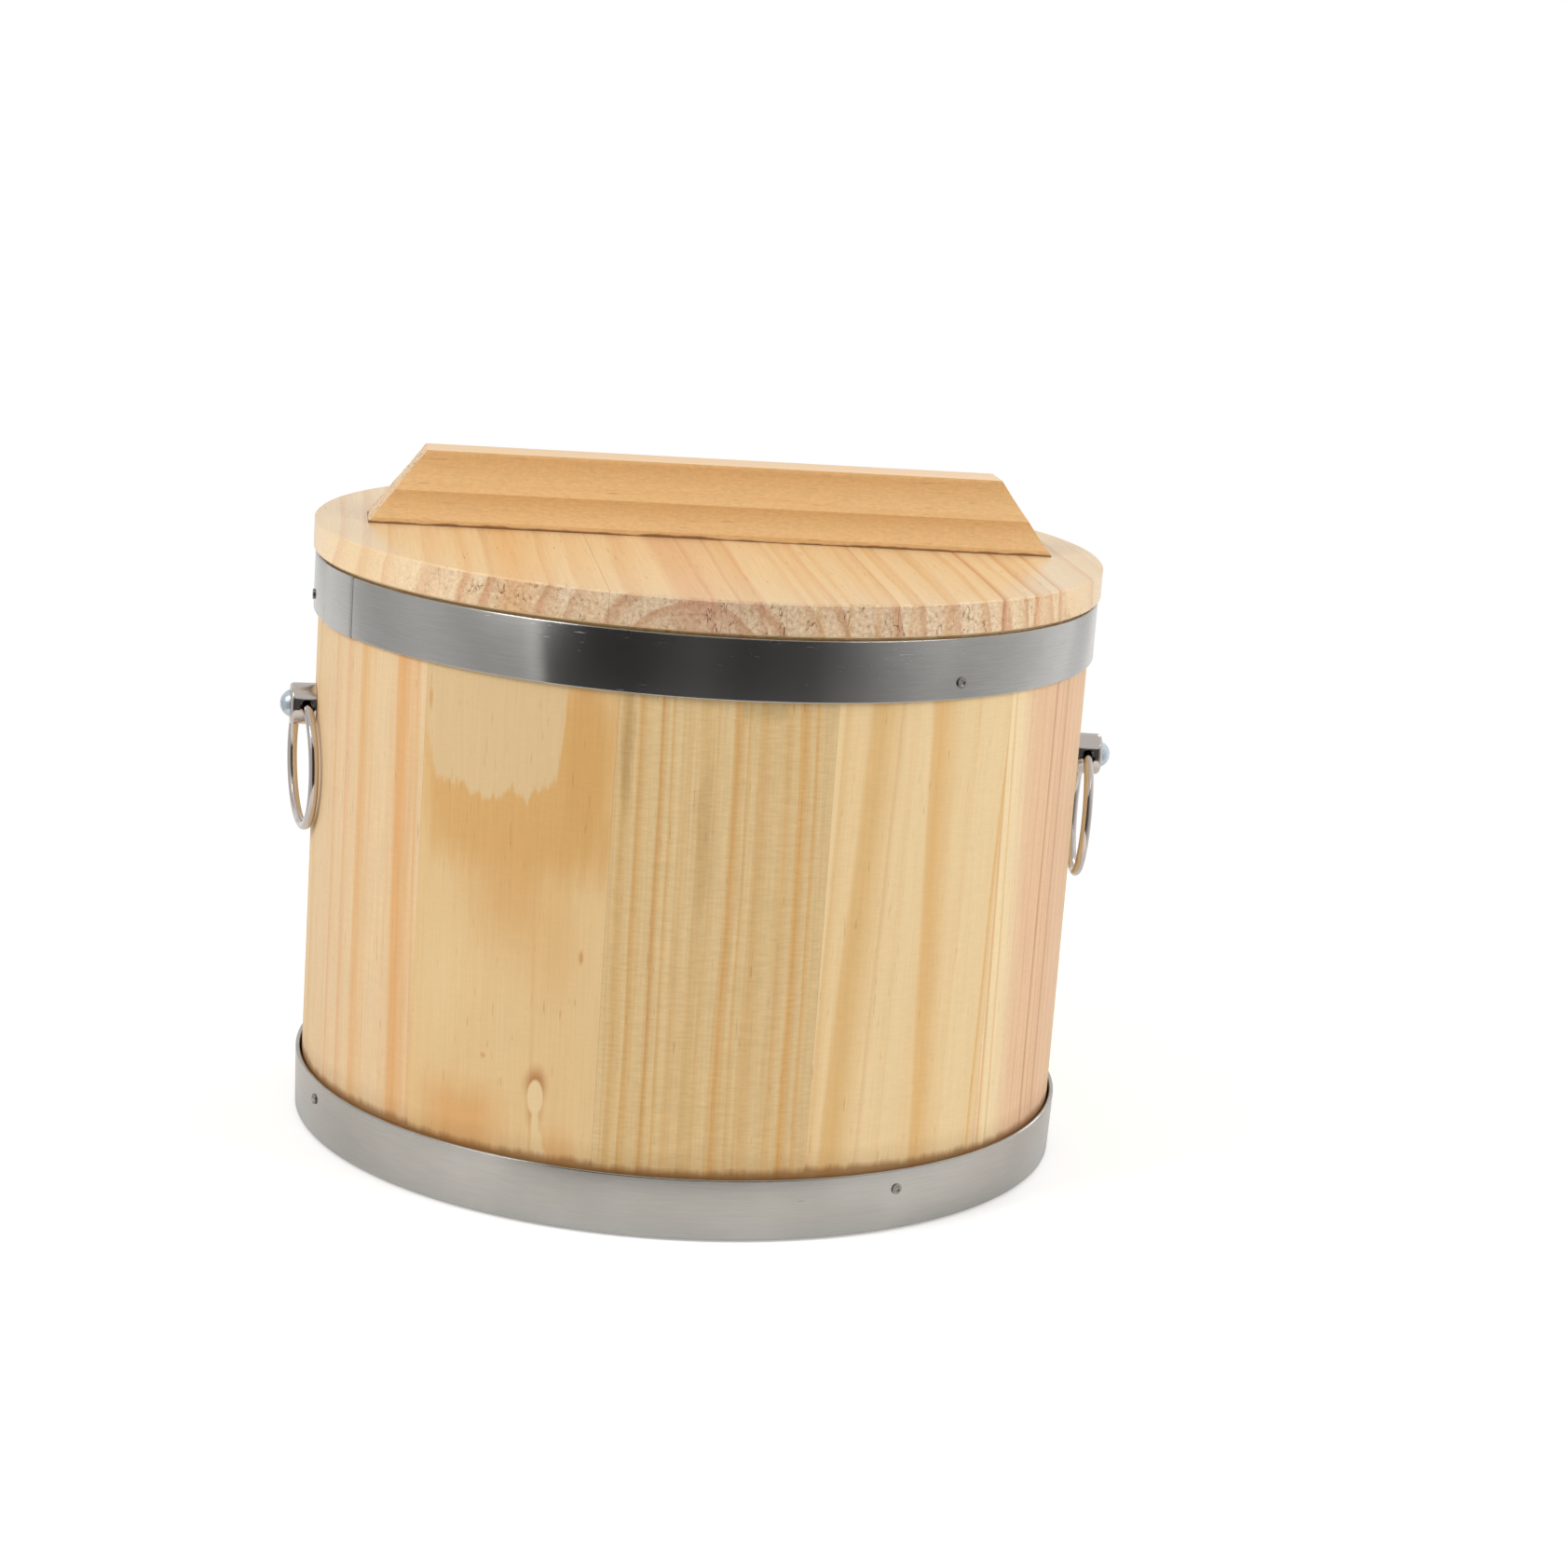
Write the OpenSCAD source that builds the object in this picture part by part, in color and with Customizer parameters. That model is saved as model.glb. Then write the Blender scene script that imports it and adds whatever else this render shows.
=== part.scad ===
// Small ohitsu: a coopered tub of pine staves in two steel hoops, with a loose lid and two side rings.
// The tub stands on z = 0 with its axis on Z. The lugs face -X and +X, and -Y is the front.

/* [Tub wall] */
// Height of the staves
stave_h = 127.4; // [80:0.1:220]
// Number of staves
stave_count = 12; // [10:1:16]
// Outer radius of the wall at the foot
wall_r_foot = 85.5; // [75:0.1:150]
// How much wider the wall's radius is at the rim
wall_flare = 0.4; // [0:0.1:2]
// Thickness of the staves
wall_t = 10; // [7:0.1:16]
// Direction of the first seam, counted from the front towards the right
seam_turn = -16.4; // [-20:0.1:12]
// Gap at each seam
seam_gap = 0.03; // [0.02:0.01:0.3]
// Chamfer on the outer edge of the foot
foot_chamfer = 0.4; // [0.1:0.1:0.8]
// Chamfer on the inner edge of the rim
rim_chamfer = 0.8; // [0.1:0.1:2]

/* [Stave pins] */
// Diameter of the bamboo pins that join the staves
pin_d = 3; // [2:0.1:4]
// Length of the bamboo pins
pin_l = 16; // [8:0.5:24]
// Height of the lower pins
pin_z_low = 42; // [30:0.5:55]
// Height of the upper pins
pin_z_high = 72; // [60:0.5:78]
// Play between a pin, nail or screw and its hole
hole_play = 0.05; // [0.02:0.01:0.1]

/* [Bottom] */
// Height of the bottom board's underside over the foot
bottom_z = 9; // [4:0.1:16]
// Thickness of the bottom board
bottom_t = 8.5; // [5:0.1:14]
// Depth of the groove that holds the board
groove_depth = 3; // [1.5:0.1:5]
// Play of the board in its groove
groove_play = 0.15; // [0.05:0.01:0.5]
// Diameter of the two dowels in the board's joint
dowel_d = 4; // [3:0.1:5]
// Length of the dowels
dowel_l = 26; // [12:0.5:40]
// Distance of each dowel from the middle
dowel_y = 36; // [20:0.5:50]

/* [Hoops] */
// Thickness of the steel
hoop_t = 1; // [0.5:0.1:1.5]
// Gap between hoop and wall where it sits tight
hoop_play = 0.1; // [0.05:0.01:0.3]
// Height of the upper hoop
upper_hoop_h = 13; // [8:0.1:20]
// Distance of the upper hoop's top edge below the rim
upper_hoop_drop = 0.4; // [0.2:0.1:6]
// Height of the lower hoop
lower_hoop_h = 13.1; // [8:0.1:20]
// Height of the lower hoop's bottom edge over the foot
lower_hoop_z = 0.4; // [0.3:0.1:4]
// How far the lower hoop's top edge stands off the wall
lower_hoop_flare = 0.35; // [0:0.01:0.8]
// Direction of the upper hoop's lapped end
lap_turn = -64.1; // [-80:0.1:-50]
// Arc that the lap covers
lap_arc = 12; // [6:0.5:16]
// How far the lapped end stands out of the hoop
lap_t = 0.2; // [0.1:0.05:0.6]

/* [Hoop nails] */
// Nails in each hoop
nail_count = 3; // [2:1:4]
// Shank diameter
nail_d = 1.4; // [1:0.1:2]
// Head diameter
nail_head_d = 2.3; // [2:0.1:4]
// How far the head stands out
nail_head_t = 0.3; // [0.1:0.05:0.6]
// Length of the shank inside the wood
nail_l = 5.5; // [4:0.1:6.5]
// Direction of the upper hoop's first nail
upper_nail_turn = -85.7; // [-89:0.1:-83]
// Angle from one upper nail to the next
upper_nail_step = 117.8; // [110:0.1:120]
// Height of the upper nails over the hoop's lower edge
upper_nail_z = 3.6; // [2.5:0.1:5]
// Direction of the lower hoop's first nail
lower_nail_turn = -70.3; // [-72:0.1:-64]
// Angle from one lower nail to the next
lower_nail_step = 98.3; // [94:0.1:100]
// Height of the lower nails over the hoop's lower edge
lower_nail_z = 8.9; // [3:0.1:10]

/* [Lugs] */
// Direction of the lugs, counted from the front to either side
lug_turn = 85.5; // [75:0.1:90]
// Height of the left lug's axis over the foot
left_lug_z = 93.1; // [85:0.1:96]
// Height of the right lug's axis over the foot
right_lug_z = 90.1; // [85:0.1:96]
// Diameter of a lug
lug_d = 9.2; // [9:0.1:12]
// Length of a lug
lug_l = 5.6; // [5.2:0.1:9]
// Rounding of its outer rim
lug_round = 0.9; // [0.3:0.1:1.2]
// Distance of the ring's hole from the wall
eye_x = 2.5; // [2.5:0.1:2.8]
// Diameter of that hole
eye_d = 3.3; // [3.2:0.05:3.5]
// Shank diameter of the lug screw
screw_d = 2.6; // [2:0.1:2.8]
// Length of the screw inside the wood
screw_l = 7.5; // [4:0.5:8.5]
// Diameter of the screw's pan head
screw_head_d = 5.9; // [4:0.1:7]
// Height of the screw's pan head
screw_head_t = 2.1; // [1.2:0.1:3]
// Gap between lug and wall, and between screw head and lug
seat_gap = 0.05; // [0.02:0.01:0.15]

/* [Rings] */
// Outer diameter of a ring
ring_d = 29.8; // [28:0.1:36]
// Diameter of the ring's wire
wire_d = 2.2; // [2:0.1:2.2]
// Distance of the wire's two ends from the lug's axis
ring_end = 1.7; // [1.6:0.1:2.2]
// How far the ring's top would stand over the middle of its hole
ring_rise = 0.4; // [0.35:0.05:0.4]
// How far the left ring and its hole sit askew
left_ring_yaw = 7; // [0:0.5:7]
// How far the right ring and its hole sit askew
right_ring_yaw = 1; // [0:0.5:7]
// How far the rings lean in towards the wall
ring_lean = 1; // [0:0.1:1]

/* [Lid] */
// How far the lid stands out over the wall's rim
lid_over = 1.6; // [0:0.1:6]
// Thickness of the lid
lid_t = 6.8; // [4:0.1:12]
// Gap between the lid and the staves' rim
lid_gap = 0.2; // [0.1:0.05:0.5]
// Turn of the lid on the tub, as it was put down
lid_turn = 1.2; // [-15:0.1:15]
// Gap at the glued board joints
board_gap = 0.06; // [0.02:0.01:0.2]
// Chamfer on the lid's edges
lid_chamfer = 0.4; // [0.1:0.1:1]
// Thickness of the disc that drops into the mouth
plug_t = 5; // [3:0.1:9]
// Play of that disc inside the mouth
plug_play = 1.1; // [0.6:0.1:2]

/* [Handle] */
// Distance of the handle's ends from the lid's edge
handle_inset = 11.5; // [10:0.5:30]
// How far each end of the handle slopes in
handle_end_run = 12.2; // [4:0.1:20]
// Height of the handle
handle_h = 16.2; // [12:0.1:26]
// Width at the foot
handle_w = 16; // [14:0.1:24]
// Width at the ridge between the two flutes
handle_ridge_w = 14; // [12:0.1:15]
// Width at the top
handle_top_w = 11.6; // [9:0.1:12]
// Height of the ridge
handle_ridge_z = 7.4; // [6:0.1:9]
// Height of the plain strip along the foot
handle_strip_h = 1.2; // [0.6:0.1:2]
// Height of the plain strip along the top
handle_crown_h = 0.7; // [0.4:0.1:2]
// Depth of the lower flute
lower_flute = 0.9; // [0.3:0.1:1.5]
// Depth of the upper flute
upper_flute = 1.1; // [0.3:0.1:1.5]
// Distance of each handle screw from the handle's end
handle_screw_inset = 31; // [24:0.5:45]
// Shank diameter of the handle screws
handle_screw_d = 3.5; // [2.5:0.1:4.5]
// Head diameter of the handle screws
handle_screw_head_d = 7; // [6:0.1:8]
// How far the handle screws reach into the handle
handle_screw_bite = 11; // [7:0.5:11.5]

/* [Hidden] */
$fn = 96;
e = 0.01;
stave_arc = 360 / stave_count;
slope = wall_flare / stave_h;
wall_r_rim = wall_r_foot + wall_flare;
upper_hoop_z = stave_h - upper_hoop_drop - upper_hoop_h;
ring_r = (ring_d - wire_d) / 2;
lid_z = stave_h + lid_gap;
lid_top = lid_z + lid_t;
plug_r = wall_r_rim - wall_t - plug_play;
handle_screw_l = plug_t + lid_t + handle_screw_bite;
SIDES = ["left", "right"];
BOARDS = ["left", "middle", "right"];
lid_r = wall_r_rim + lid_over;
board_w = 2 * lid_r / len(BOARDS);
handle_l = 2 * (lid_r - handle_inset);
handle_screw_x = handle_l / 2 - handle_screw_inset;

function stave_name(i) = str("stave_", i < 10 ? "0" : "", i);
// Outer radius of the wall at a height
function wall_r(z) = wall_r_foot + slope * z;
// Turns a direction counted from the front into the angle from +X
function heading(a) = a - 90;
function seam(i) = heading(seam_turn) + (i - 1) * stave_arc;
function side(s) = s == "left" ? -1 : 1;
function lug_z(s) = s == "left" ? left_lug_z : right_lug_z;
function ring_yaw(s) = s == "left" ? left_ring_yaw : right_ring_yaw;

// Places children at a height, with +X pointing outwards along a direction
module outwards(turn, z) {
    translate([0, 0, z])
        rotate([0, 0, heading(turn)])
            children();
}

// Rod along +X
module rod(d, l) {
    rotate([0, 90, 0])
        cylinder(d = d, h = l);
}

module wall_profile() {
    groove_z = bottom_z - groove_play;
    groove_h = bottom_t + 2 * groove_play;
    difference() {
        polygon([
            [wall_r(0) - wall_t, 0],
            [wall_r(0) - foot_chamfer, 0],
            [wall_r(foot_chamfer), foot_chamfer],
            [wall_r(stave_h), stave_h],
            [wall_r(stave_h) - wall_t + rim_chamfer, stave_h],
            [wall_r(stave_h - rim_chamfer) - wall_t, stave_h - rim_chamfer]]);
        translate([wall_r(bottom_z) - wall_t - groove_depth, groove_z])
            square([2 * groove_depth, groove_h]);
    }
}

// Pins through one seam, each along the tangent
module seam_pins(i, play) {
    for (z = [pin_z_low, pin_z_high])
        rotate([0, 0, seam(i)])
            translate([wall_r(z) - wall_t / 2, 0, z])
                rotate([90, 0, 0])
                    cylinder(d = pin_d + play, h = pin_l + play, center = true);
}

// Bores for one hoop's nails, from their tips in the wood out through the steel
module nail_bores(turn, step, z) {
    for (k = [0:nail_count - 1])
        outwards(turn + k * step, z)
            translate([wall_r(z) - nail_l - hole_play, 0, 0])
                rod(nail_d + 2 * hole_play, nail_l + hoop_play + lower_hoop_flare + 2 * hoop_t);
}

module upper_nail_bores() {
    nail_bores(upper_nail_turn, upper_nail_step, upper_hoop_z + upper_nail_z);
}

module lower_nail_bores() {
    nail_bores(lower_nail_turn, lower_nail_step, lower_hoop_z + lower_nail_z);
}

// Places children on the wall at a lug, with +X pointing outwards
module at_lug(s) {
    outwards(side(s) * lug_turn, lug_z(s))
        translate([wall_r(lug_z(s)), 0, 0])
            children();
}

module lug_screw_holes() {
    for (s = SIDES)
        at_lug(s)
            translate([-screw_l - hole_play, 0, 0])
                rod(screw_d + 2 * hole_play, screw_l + 2 * screw_d);
}

module stave(i) {
    gap_arc = seam_gap / wall_r_foot * 180 / PI;
    color("burlywood")
        difference() {
            rotate([0, 0, seam(i) + gap_arc / 2])
                rotate_extrude(angle = stave_arc - gap_arc)
                    wall_profile();
            seam_pins(i, 2 * hole_play);
            seam_pins(i + 1, 2 * hole_play);
            upper_nail_bores();
            lower_nail_bores();
            lug_screw_holes();
        }
}

module stave_pins() {
    color("khaki")
        for (i = [1:stave_count])
            seam_pins(i, 0);
}

module bottom_dowel(play) {
    for (y = [-dowel_y, dowel_y])
        translate([-dowel_l / 2 - play / 2, y, bottom_z + bottom_t / 2])
            rod(dowel_d + play, dowel_l + play);
}

module bottom_board(s) {
    r = wall_r(bottom_z) - wall_t + groove_depth - groove_play;
    color("wheat")
        difference() {
            intersection() {
                translate([0, 0, bottom_z])
                    cylinder(r = r, h = bottom_t);
                translate([side(s) > 0 ? board_gap / 2 : -2 * r - board_gap / 2, -r, 0])
                    cube([2 * r, 2 * r, 2 * bottom_z + bottom_t]);
            }
            bottom_dowel(2 * hole_play);
        }
}

module bottom_dowels() {
    color("khaki")
        bottom_dowel(0);
}

// Steel band whose inner face follows the wall, with its top edge standing off by flare
module hoop_band(z, h, flare, arc = 360, lift = 0, t = hoop_t) {
    low = wall_r(z) + hoop_play + lift;
    high = wall_r(z + h) + hoop_play + flare + lift;
    rotate_extrude(angle = arc)
        polygon([[low, z], [low + t, z], [high + t, z + h], [high, z + h]]);
}

module upper_hoop() {
    color("silver")
        difference() {
            union() {
                hoop_band(upper_hoop_z, upper_hoop_h, 0);
                rotate([0, 0, heading(lap_turn - lap_arc)])
                    hoop_band(upper_hoop_z, upper_hoop_h, 0, lap_arc, hoop_t / 2, hoop_t / 2 + lap_t);
            }
            upper_nail_bores();
        }
}

module lower_hoop() {
    color("silver")
        difference() {
            hoop_band(lower_hoop_z, lower_hoop_h, lower_hoop_flare);
            lower_nail_bores();
        }
}

// Nails from their seat on a hoop, whose outer face has radius r
module nails(turn, step, z, r) {
    tip = wall_r(z) - nail_l;
    color("gray")
        for (k = [0:nail_count - 1])
            outwards(turn + k * step, z) {
                translate([tip, 0, 0])
                    rod(nail_d, r + seat_gap + e - tip);
                translate([r + seat_gap, 0, 0])
                    rotate([0, 90, 0])
                        cylinder(d1 = nail_head_d, d2 = nail_head_d - nail_head_t, h = nail_head_t);
            }
}

module upper_hoop_nails() {
    r = wall_r(upper_hoop_z + upper_nail_z) + hoop_play + hoop_t;
    nails(upper_nail_turn, upper_nail_step, upper_hoop_z + upper_nail_z, r);
}

module lower_hoop_nails() {
    share = lower_nail_z / lower_hoop_h;
    r = wall_r(lower_hoop_z + lower_nail_z) + hoop_play + hoop_t + lower_hoop_flare * share;
    nails(lower_nail_turn, lower_nail_step, lower_hoop_z + lower_nail_z, r);
}

// Places children at a ring's hole in its lug, turned as the ring is
module at_eye(s) {
    translate([eye_x, 0, 0])
        rotate([0, 0, -side(s) * ring_yaw(s)])
            children();
}

// Lug along +X, its back on the wall at the origin
module lug(s) {
    r = lug_d / 2;
    difference() {
        translate([seat_gap, 0, 0])
            rotate([0, 90, 0])
                rotate_extrude() {
                    square([r, lug_l - lug_round]);
                    square([r - lug_round, lug_l]);
                    translate([r - lug_round, lug_l - lug_round])
                        circle(r = lug_round);
                }
        at_eye(s)
            rotate([90, 0, 0])
                cylinder(d = eye_d, h = 2 * lug_d, center = true);
        translate([-screw_d, 0, 0])
            rod(screw_d + 2 * hole_play, lug_l + 2 * screw_d);
    }
}

module side_lug(s) {
    color("lightsteelblue")
        at_lug(s)
            lug(s);
}

module side_screw(s) {
    seat = lug_l + 2 * seat_gap;
    dome_r = (screw_head_d * screw_head_d / 4 + screw_head_t * screw_head_t) / (2 * screw_head_t);
    color("gainsboro")
        at_lug(s) {
            translate([-screw_l, 0, 0])
                rod(screw_d, screw_l + seat + e);
            rotate([0, 90, 0])
                translate([0, 0, seat])
                    rotate_extrude()
                        intersection() {
                            translate([0, screw_head_t - dome_r])
                                circle(r = dome_r);
                            square([screw_head_d / 2, screw_head_t]);
                        }
        }
}

// Ring hanging below the origin, open at its top for the lug's screw
module ring() {
    translate([0, ring_rise - ring_r, 0])
        difference() {
            rotate_extrude()
                translate([ring_r, 0])
                    circle(d = wire_d);
            translate([-ring_end, 0, -wire_d])
                cube([2 * ring_end, ring_d, 2 * wire_d]);
        }
}

module side_ring(s) {
    color("lightsteelblue")
        at_lug(s)
            at_eye(s)
                rotate([0, ring_lean, 0])
                    rotate([90, 0, 90])
                        ring();
}

// Turns children with the lid, which is loose
module on_lid() {
    rotate([0, 0, lid_turn])
        children();
}

module handle_screw_row(play) {
    for (x = [-handle_screw_x, handle_screw_x])
        translate([x, 0, lid_z - plug_t]) {
            translate([0, 0, -e])
                cylinder(d = handle_screw_d + play, h = handle_screw_l + play / 2);
            sink = (handle_screw_head_d - handle_screw_d) / 2;
            translate([0, 0, play > 0 ? -e : 0])
                cylinder(d1 = handle_screw_head_d + play, d2 = handle_screw_d + play, h = sink);
        }
}

module lid_disc() {
    rotate_extrude()
        polygon([
            [0, lid_z],
            [lid_r - lid_chamfer, lid_z],
            [lid_r, lid_z + lid_chamfer],
            [lid_r, lid_top - lid_chamfer],
            [lid_r - lid_chamfer, lid_top],
            [0, lid_top]]);
}

module lid_board(b) {
    k = search([b], BOARDS)[0];
    color("wheat")
        on_lid()
            difference() {
                intersection() {
                    lid_disc();
                    translate([-lid_r + k * board_w + board_gap / 2, -2 * lid_r, lid_z - lid_t])
                        cube([board_w - board_gap, 4 * lid_r, 3 * lid_t]);
                }
                handle_screw_row(2 * hole_play);
            }
}

module lid_plug() {
    color("wheat")
        on_lid()
            difference() {
                translate([0, 0, lid_z - plug_t])
                    cylinder(r = plug_r, h = plug_t - seat_gap);
                handle_screw_row(2 * hole_play);
            }
}

// Circle that hollows the edge from point a up to point b by depth, on the side of +x
module flute(a, b, depth) {
    chord = norm(b - a);
    r = (chord * chord / 4 + depth * depth) / (2 * depth);
    out = [b.y - a.y, a.x - b.x] / chord;
    translate((a + b) / 2 + out * (r - depth))
        circle(r = r, $fn = 180);
}

module handle_section() {
    foot = [handle_w / 2, handle_strip_h];
    ridge = [handle_ridge_w / 2, handle_ridge_z];
    crown = [handle_top_w / 2, handle_h - handle_crown_h];
    difference() {
        polygon([
            [-foot.x, 0], [foot.x, 0], foot, ridge, crown,
            [crown.x, handle_h], [-crown.x, handle_h], [-crown.x, crown.y],
            [-ridge.x, ridge.y], [-foot.x, foot.y]]);
        for (s = [0, 1])
            mirror([s, 0]) {
                flute(foot, ridge, lower_flute);
                flute(ridge, crown, upper_flute);
            }
    }
}

module lid_handle() {
    lean = atan(handle_end_run / handle_h);
    color("sandybrown")
        on_lid()
            difference() {
                translate([-handle_l / 2, 0, lid_top + seat_gap])
                    rotate([90, 0, 90])
                        linear_extrude(handle_l)
                            handle_section();
                for (s = [0, 180])
                    rotate([0, 0, s])
                        translate([handle_l / 2, -handle_w, lid_top + seat_gap])
                            rotate([0, -lean, 0])
                                translate([0, 0, -handle_h])
                                    cube([handle_l, 2 * handle_w, 4 * handle_h]);
                handle_screw_row(2 * hole_play);
            }
}

module handle_screws() {
    color("gray")
        on_lid()
            handle_screw_row(0);
}

for (i = [1:stave_count])
    stave(i);
stave_pins();
bottom_board("left");  // bottom_board_left
bottom_board("right");  // bottom_board_right
bottom_dowels();
upper_hoop();
lower_hoop();
upper_hoop_nails();
lower_hoop_nails();
for (s = SIDES) {
    side_lug(s);
    side_screw(s);
    side_ring(s);
}
for (b = BOARDS)
    lid_board(b);
lid_plug();
lid_handle();
handle_screws();
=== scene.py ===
import math
import bpy
from mathutils import Matrix, Vector


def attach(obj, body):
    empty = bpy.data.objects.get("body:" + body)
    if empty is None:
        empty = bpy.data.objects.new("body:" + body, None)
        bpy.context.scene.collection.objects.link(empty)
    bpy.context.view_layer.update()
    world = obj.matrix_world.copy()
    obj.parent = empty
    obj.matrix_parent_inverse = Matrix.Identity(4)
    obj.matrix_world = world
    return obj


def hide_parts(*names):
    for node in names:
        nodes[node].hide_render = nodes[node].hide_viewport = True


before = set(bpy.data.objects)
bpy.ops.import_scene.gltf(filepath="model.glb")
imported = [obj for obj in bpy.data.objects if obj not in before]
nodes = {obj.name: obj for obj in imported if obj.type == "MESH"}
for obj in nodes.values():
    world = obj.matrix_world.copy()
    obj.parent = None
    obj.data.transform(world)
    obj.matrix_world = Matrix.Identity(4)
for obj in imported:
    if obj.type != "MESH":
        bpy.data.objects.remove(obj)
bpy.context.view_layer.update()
mm = 0.001
print("frame loaded:", len(nodes), "nodes")


def linear(code):  # sRGB hex to linear colour
    parts = [int(code[i:i + 2], 16) / 255 for i in (1, 3, 5)]
    return [p / 12.92 if p <= 0.04045 else ((p + 0.055) / 1.055) ** 2.4 for p in parts] + [1.0]


def addNode(tree, kind, inputs=None, stops=None, **settings):
    node = tree.nodes.new("ShaderNode" + kind)
    for name, value in settings.items():
        setattr(node, name, value)
    for name, value in (inputs or {}).items():
        if isinstance(value, bpy.types.Node):
            tree.links.new(value.outputs[0], node.inputs[name])
        elif isinstance(value, bpy.types.NodeSocket):
            tree.links.new(value, node.inputs[name])
        else:
            node.inputs[name].default_value = value
    if stops:
        ramp = node.color_ramp.elements
        while len(ramp) < len(stops):
            ramp.new(1.0)
        for element, (where, shade) in zip(ramp, stops):
            element.position = where
            element.color = linear(shade) if isinstance(shade, str) else (shade, shade, shade, 1.0)
    return node


def newMaterial(name):
    material = bpy.data.materials.new(name)
    material.use_nodes = True
    material.node_tree.nodes.clear()
    return material, material.node_tree


def dress(piece, material):
    piece.data.materials.clear()
    piece.data.materials.append(material)


def selectOnly(*pieces):  # the first one becomes the active one
    bpy.ops.object.select_all(action="DESELECT")
    for piece in pieces:
        piece.select_set(True)
    bpy.context.view_layer.objects.active = pieces[0]


def editAll(piece):
    selectOnly(piece)
    bpy.ops.object.mode_set(mode="EDIT")
    bpy.ops.mesh.select_all(action="SELECT")


def pickFaces(piece, wanted):  # leaves edit mode on, with only the wanted faces selected
    editAll(piece)
    bpy.ops.mesh.select_all(action="DESELECT")
    bpy.ops.object.mode_set(mode="OBJECT")
    for face in piece.data.polygons:
        face.select = wanted(face)
    bpy.ops.object.mode_set(mode="EDIT")


def facesUp(face):
    return face.normal.z > 0.9


def facesDown(face):
    return face.normal.z < -0.9


def azimuthOf(face):  # degrees from the front, the right side positive
    return math.degrees(math.atan2(face.center.x, -face.center.y))


def joinPieces(*pieces):
    selectOnly(*pieces)
    bpy.ops.object.join()


def eased(width, segments, corner):  # a bevel in mm, on edges that turn by more than that corner in degrees
    return "BEVEL", {"width": width * mm, "segments": segments, "limit_method": "ANGLE",
                     "angle_limit": math.radians(corner)}


def finishPiece(piece, modifiers, smooth=35):
    selectOnly(piece)
    bpy.ops.object.transform_apply(location=True, rotation=True, scale=True)
    for kind, settings in modifiers:
        modifier = piece.modifiers.new(kind.lower(), kind)
        for key, value in settings.items():
            setattr(modifier, key, value)
        bpy.ops.object.modifier_apply(modifier=modifier.name)
    bpy.ops.object.shade_smooth_by_angle(angle=math.radians(smooth))


camera = {
    "place": (-73.09, -745.45, 244.98),  # mm
    "yaw": -0.12484, "pitch": 0.2184, "roll": 0.0722,  # radians; the tub stands tilted in the picture
    "lens": 77.76, "sensor": 36,
}


def makeCamera(v):
    data = bpy.data.cameras.new("camera")
    data.sensor_width = v["sensor"]
    data.lens = v["lens"]
    data.clip_start, data.clip_end = 0.01, 50
    level = math.cos(v["pitch"])
    right = Vector((math.cos(v["yaw"]), math.sin(v["yaw"]), 0))
    ahead = Vector((-math.sin(v["yaw"]) * level, math.cos(v["yaw"]) * level, -math.sin(v["pitch"])))
    down = ahead.cross(right)
    across = math.cos(v["roll"]) * right - math.sin(v["roll"]) * down
    below = math.sin(v["roll"]) * right + math.cos(v["roll"]) * down
    turn = Matrix((across, -below, -ahead)).transposed().to_4x4()
    thing = bpy.data.objects.new("camera", data)
    thing.matrix_world = Matrix.Translation(Vector(v["place"]) * mm) @ turn
    bpy.context.scene.collection.objects.link(thing)
    bpy.context.scene.camera = thing


makeCamera(camera)

stage = {
    "floorSize": 12.0,  # m
    "floorPale": "#E9E8E6",
    "cameraGlow": 0.34,  # lifts the floor to white in the picture; the shadow stays
    "whiteFrom": 0.17, "whiteTo": 0.42,  # m from the tub, where the floor turns pure white in the picture
    "worldLight": 0.62,
    "worldMirror": 0.66,  # what metal sees
    "key": {"place": (-1.75, -0.85, 1.45), "size": 1.0, "power": 25},
    "fill": {"place": (1.65, -0.85, 1.2), "size": 1.2, "power": 17},
    "rim": {"place": (1.0, 1.7, 1.2), "size": 0.7, "power": 7},
    # cards that only mirrors see, as azimuth from the front in degrees, and tone there
    "cards": {
        "radius": 0.33, "skirt": 0.19, "low": 0.001, "high": 0.34,
        "tones": [(-135, 0.90), (-119, 0.78), (-111, 0.58), (-102, 0.51), (-93, 0.53), (-84, 0.60),
                  (-74, 0.54), (-64, 0.41), (-50, 0.44), (-49, 0.62), (-46.5, 0.62), (-46, 0.06),
                  (-32, 0.03), (-22, 0.035), (-6, 0.08), (5, 0.045), (22, 0.075), (34, 0.19),
                  (47, 0.34), (58, 0.49), (67, 0.49), (77, 0.60), (87, 0.68), (97, 0.83),
                  (105, 0.89), (113, 0.92), (117, 0.75), (127, 0.71), (135, 0.80)]},
}


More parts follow.
